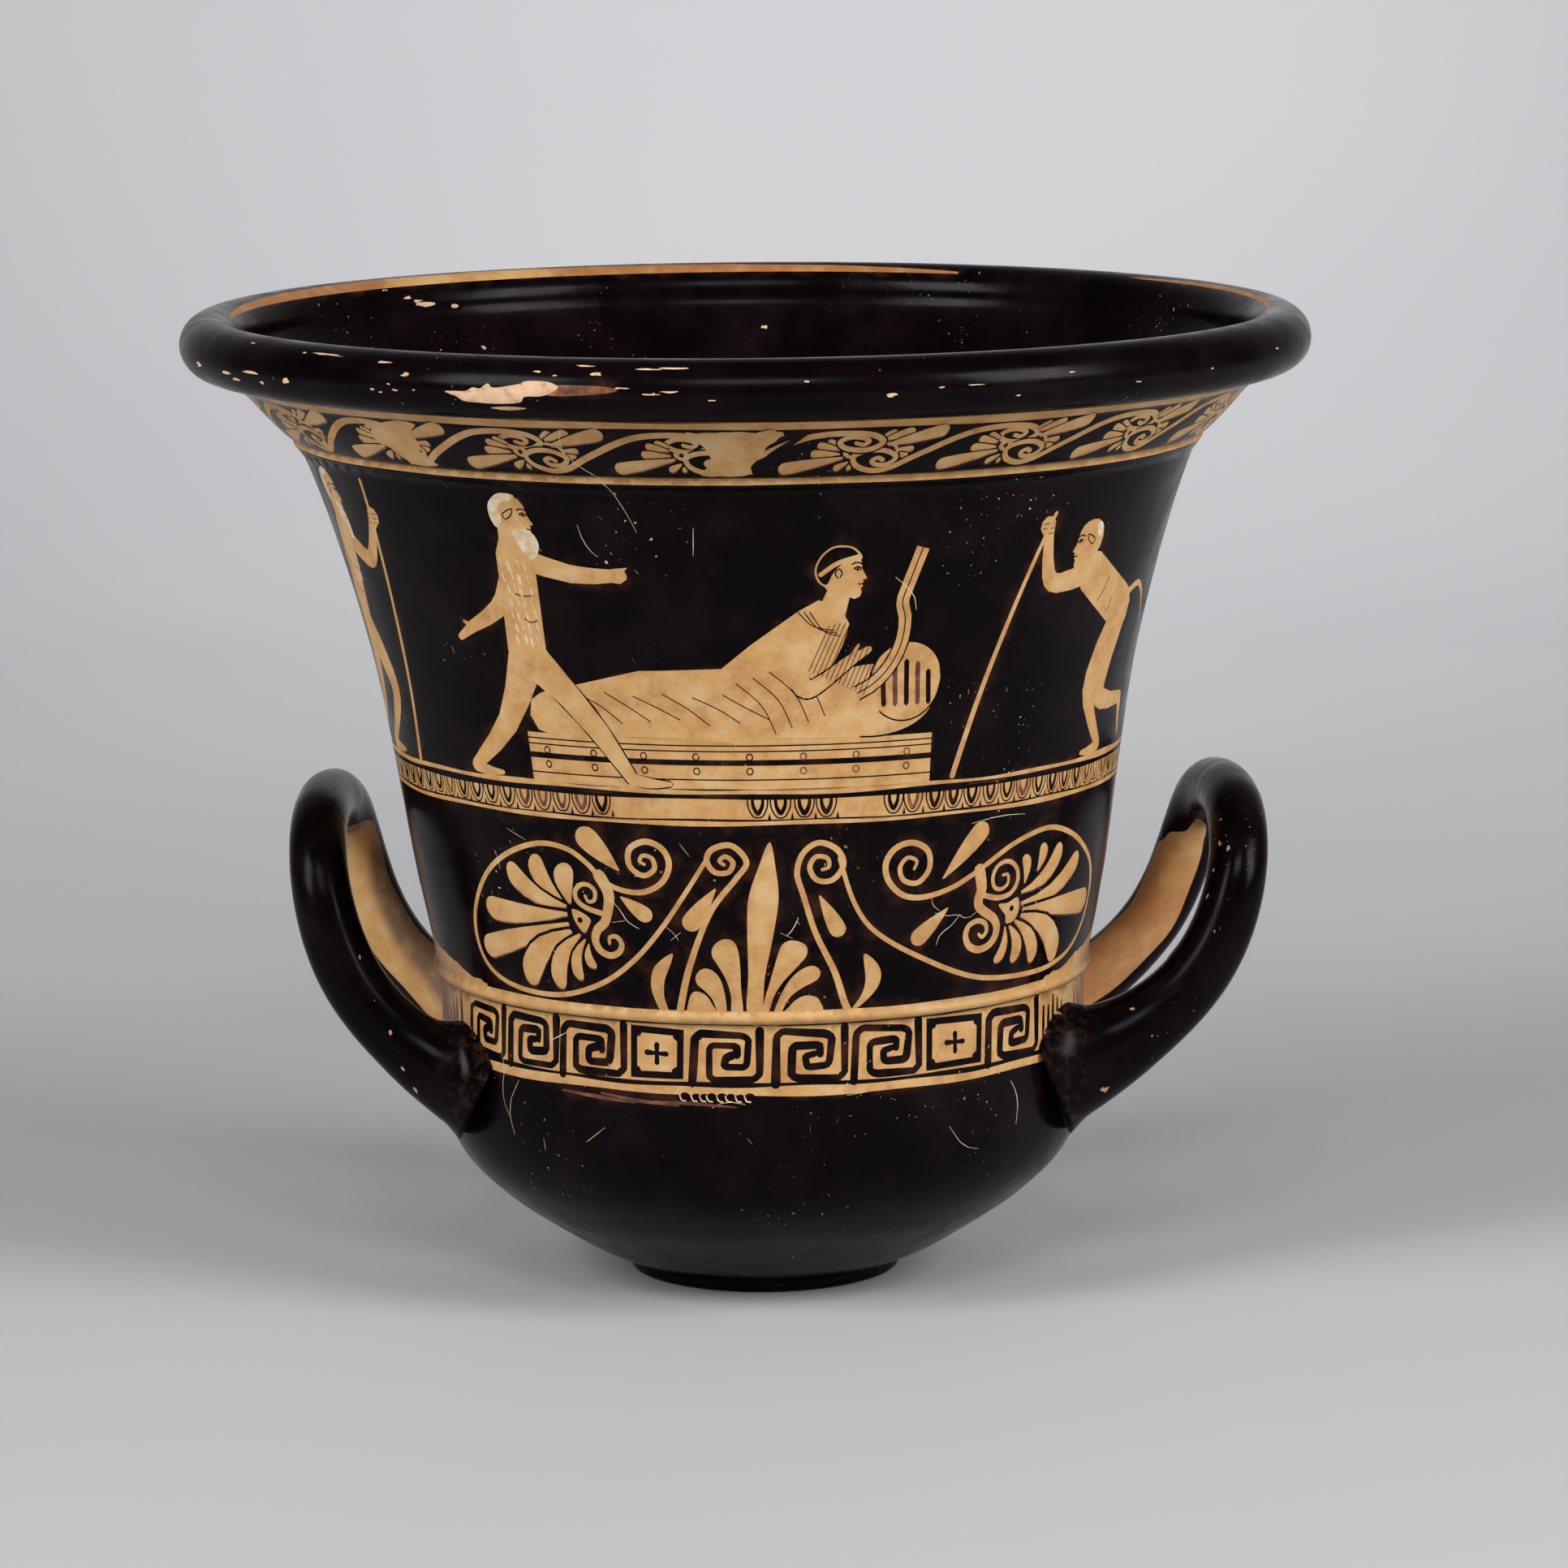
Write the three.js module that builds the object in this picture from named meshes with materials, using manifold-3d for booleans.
// Calyx krater: a wheel-thrown clay mixing bowl with two upturned handles.
// Its foot is lost, so it rests on the stump under the bowl.
// Millimetres, +Z up, the axis of the wheel is Z, the pictured side faces -Y.

import * as THREE from 'three';
import { mergeVertices } from 'three/addons/utils/BufferGeometryUtils.js';
import Module from 'manifold-3d';

const wasm = await Module();
wasm.setup();

// ---- Sizes that drive the shape ------------------------------------------

const TURNS = 60;                  // facets round the axis

const STUMP = { radius: 48.5, height: 4.2, edge: 1.4 };

// Each station is [radius, height] on the outer face.
const BOWL = [
  [51.5, 5.4], [63.8, 10.9], [83.0, 22.9], [95.3, 31.9],
  [107.4, 43.9], [113.9, 57], [115.8, 71], [115.3, 87],
];
const WALL = [
  [117.2, 115.6], [118.4, 122], [121.4, 137], [124.2, 152], [130.3, 192],
  [135.5, 222], [143.0, 252], [150.5, 277], [156.6, 294], [159.4, 300.4],
];
const COLLAR = [
  [161.6, 304.4], [163.6, 304.9], [167.2, 308.2], [172.2, 313.4],
  [176.8, 318.7], [180.0, 321.8],
];
const LOW_BEAD = { radius: 115.8, height: 112.9, size: 2.5 };   // over the bowl
const HIGH_BEAD = { radius: 159.7, height: 302.4, size: 1.9 };  // under the lip
const LIP = { radius: 189.7, height: 336.5, size: 10.6 };       // rolled rim

// The inner face, from the rim down to the floor.
const INSIDE = [
  [179.2, 334], [176.8, 329.5], [171.5, 322.4], [162.5, 312.6],
  [153.2, 302.5], [147.6, 292.5], [142.4, 277], [135.2, 252], [127.9, 222],
  [122.7, 192], [116.5, 152], [110.8, 122], [108.2, 104], [107.2, 86],
  [105.8, 71], [100.8, 56], [89.5, 42.4], [73, 31.2], [54, 22.8],
  [32, 17.4], [0.2, 15.2],
];
const MID_WALL = 3.5;              // how far a handle root sinks past that face

// One leg of a handle: reach from the axis, half the gap between the legs,
// height, then half thickness across the leg and along its gap.
const LEG = [
  { reach: 96, spread: 53.6, height: 75.5, thick: 18.6, wide: 17.5 },
  { reach: 106, spread: 53.6, height: 79.8, thick: 16.6, wide: 15.8 },
  { reach: 118, spread: 53.6, height: 86, thick: 13.9, wide: 13.4 },
  { reach: 129, spread: 53.6, height: 93.8, thick: 12.0, wide: 12.2 },
  { reach: 139, spread: 53.6, height: 103.4, thick: 11.3, wide: 11.8 },
  { reach: 147.3, spread: 53.3, height: 114.5, thick: 11.1, wide: 11.6 },
  { reach: 153.4, spread: 52.8, height: 127, thick: 10.9, wide: 11.4 },
  { reach: 157.4, spread: 51.7, height: 139.8, thick: 10.6, wide: 11.2 },
  { reach: 159.8, spread: 47.9, height: 151, thick: 10.3, wide: 11.0 },
  { reach: 161.2, spread: 40.1, height: 160, thick: 10.1, wide: 10.8 },
  { reach: 162.2, spread: 27.9, height: 165.8, thick: 9.9, wide: 10.6 },
  { reach: 162.8, spread: 13.9, height: 168.2, thick: 9.8, wide: 10.4 },
  { reach: 163.0, spread: 0, height: 168.8, thick: 9.8, wide: 10.4 },
];
const LEG_FOOT = LEG[0].reach;
const SIDES = 14;                  // facets round a handle
const STEPS = 30;                  // sections along a handle

// The potter set the two handles by eye: azimuth in degrees from +X, and how
// far each leans out compared with the stations above.
const HANDLES = [
  { azimuth: 176.8, lean: 0.906 },
  { azimuth: 6, lean: 1.083 },
];

// The wet wall settled a little sideways above the bowl: how far it goes over
// for each millimetre of height, and from what height.
const SETTLE = { slope: -0.0195, from: 130 };
const LIP_SHIFT = SETTLE.slope * (LIP.height - SETTLE.from);

// ---- Shapes --------------------------------------------------------------

const v2 = ([r, z]) => new THREE.Vector2(r, z);

/** Points of a smooth curve through the stations. */
function curve(stations, count) {
  return new THREE.SplineCurve(stations.map(v2)).getPoints(count);
}

/** Points of a round section, its angles in degrees from straight outward. */
function round({ radius, height, size }, from, to, count) {
  const points = [];
  for (let i = 0; i <= count; i += 1) {
    const a = THREE.MathUtils.degToRad(from + ((to - from) * i) / count);
    points.push(v2([radius + size * Math.cos(a), height + size * Math.sin(a)]));
  }
  return points;
}

/** The section of the vessel: up the outer face, down the inner one. */
function vesselSection() {
  const { radius, height, edge } = STUMP;
  return [
    v2([0, 0]), v2([radius - edge, 0]), v2([radius, edge]), v2([radius, height]),
    ...curve(BOWL, 9),
    v2([115.3, 109.6]),
    ...round(LOW_BEAD, -60, 60, 3),
    ...curve(WALL, 9),
    ...round(HIGH_BEAD, -50, 60, 3),
    ...curve(COLLAR, 3),
    ...round(LIP, -100, 180, 10),
    ...curve(INSIDE, 14),
    v2([0, 15.2]),
  ];
}

/** A solid turned about Z. The section starts and ends on the axis. */
function turned(section) {
  const solid = new THREE.LatheGeometry(section, TURNS);
  solid.rotateX(Math.PI / 2);
  return solid;
}

/** The same solid after the wall has settled sideways. */
function settled(solid) {
  const spots = solid.getAttribute('position');
  for (let i = 0; i < spots.count; i += 1) {
    const above = Math.max(0, spots.getZ(i) - SETTLE.from);
    spots.setX(i, spots.getX(i) + SETTLE.slope * above);
  }
  return solid;
}

/** The space inside the middle of the wall, which handle roots stop at. */
function core() {
  const side = INSIDE.slice(6, 19).reverse();
  const section = side.map(([r, z]) => v2([r + MID_WALL, z]));
  const low = section[0];
  const high = section[section.length - 1];
  return turned([v2([0, low.y]), ...section, v2([0, high.y])]);
}

/** Middle line and section sizes of a handle, one leg, crown, other leg. */
function handleLine({ azimuth, lean }) {
  const far = LEG.slice(0, -1).reverse();
  const all = [
    ...LEG.map((s) => ({ ...s, side: -1 })),
    ...far.map((s) => ({ ...s, side: 1 })),
  ];
  const path = all.map((s) => new THREE.Vector3(
    LEG_FOOT + (s.reach - LEG_FOOT) * lean, s.side * s.spread, s.height));
  const size = all.map((s) => new THREE.Vector3(s.thick, s.wide, 0));
  const turn = new THREE.Matrix4().makeRotationZ(
    THREE.MathUtils.degToRad(azimuth));
  return {
    path: new THREE.CatmullRomCurve3(path, false, 'centripetal'),
    size: new THREE.CatmullRomCurve3(size, false, 'centripetal'),
    turn,
    span: all.length - 1,
  };
}

/** A round bar that follows the line, closed at both ends. */
function handle(spec) {
  const { path, size, turn, span } = handleLine(spec);
  const inward = new THREE.Vector3(-1, 0, 0.35).normalize();
  const spots = [];
  const index = [];
  for (let i = 0; i <= STEPS; i += 1) {
    const t = i / STEPS;
    const at = path.getPoint(t);
    const along = path.getTangent(t);
    const { x: thick, y: wide } = size.getPoint(t);
    const across = inward.clone().addScaledVector(
      along, -inward.dot(along)).normalize();
    const beside = new THREE.Vector3().crossVectors(along, across);
    for (let k = 0; k < SIDES; k += 1) {
      const a = (2 * Math.PI * k) / SIDES;
      spots.push(at.clone()
        .addScaledVector(across, thick * Math.cos(a))
        .addScaledVector(beside, wide * Math.sin(a)));
    }
  }
  const ring = (i, k) => i * SIDES + (k % SIDES);
  for (let i = 0; i < STEPS; i += 1) {
    for (let k = 0; k < SIDES; k += 1) {
      const [a, b] = [ring(i, k), ring(i, k + 1)];
      const [c, d] = [ring(i + 1, k + 1), ring(i + 1, k)];
      index.push(a, b, c, a, c, d);
    }
  }
  for (let k = 1; k < SIDES - 1; k += 1) {
    index.push(ring(0, 0), ring(0, k + 1), ring(0, k));
    index.push(ring(STEPS, 0), ring(STEPS, k), ring(STEPS, k + 1));
  }
  const bar = new THREE.BufferGeometry().setFromPoints(spots);
  bar.setIndex(index);
  bar.applyMatrix4(turn);
  return bar;
}

// ---- Joining -------------------------------------------------------------

/** A three.js solid as a closed manifold solid, faces out. */
function closed(geometry) {
  const bare = new THREE.BufferGeometry();
  bare.setAttribute('position', geometry.getAttribute('position'));
  bare.setIndex(geometry.index);
  const merged = mergeVertices(bare, 1e-5);
  const at = merged.index.array;
  const kept = [];
  for (let i = 0; i < at.length; i += 3) {
    const [a, b, c] = [at[i], at[i + 1], at[i + 2]];
    if (a !== b && b !== c && c !== a) kept.push(a, b, c);
  }
  const make = (order) => new wasm.Manifold(new wasm.Mesh({
    numProp: 3,
    vertProperties: Float32Array.from(merged.attributes.position.array),
    triVerts: Uint32Array.from(order),
  }));
  const solid = make(kept);
  return solid.volume() > 0 ? solid : make(kept.reverse());
}

/** A manifold solid as a named three.js mesh. */
function toMesh(solid, name, color) {
  const { vertProperties, triVerts } = solid.getMesh();
  const geometry = new THREE.BufferGeometry();
  geometry.setAttribute('position',
    new THREE.BufferAttribute(new Float32Array(vertProperties), 3));
  geometry.setIndex(new THREE.BufferAttribute(new Uint32Array(triVerts), 1));
  geometry.computeVertexNormals();
  const material = new THREE.MeshStandardMaterial({
    name, color, roughness: 0.35, metalness: 0,
  });
  const mesh = new THREE.Mesh(geometry, material);
  mesh.name = name;
  return mesh;
}

const inner = closed(core());
let vessel = closed(settled(turned(vesselSection())));
for (const spec of HANDLES) {
  vessel = vessel.add(closed(handle(spec)).subtract(inner));
}

// The origin is under the middle of the lip, the widest part.
vessel = vessel.translate([-LIP_SHIFT, 0, 0]);

const krater = new THREE.Group();
krater.name = 'calyx_krater';
krater.add(toMesh(vessel, 'krater', 0x1b1518));

export default krater;
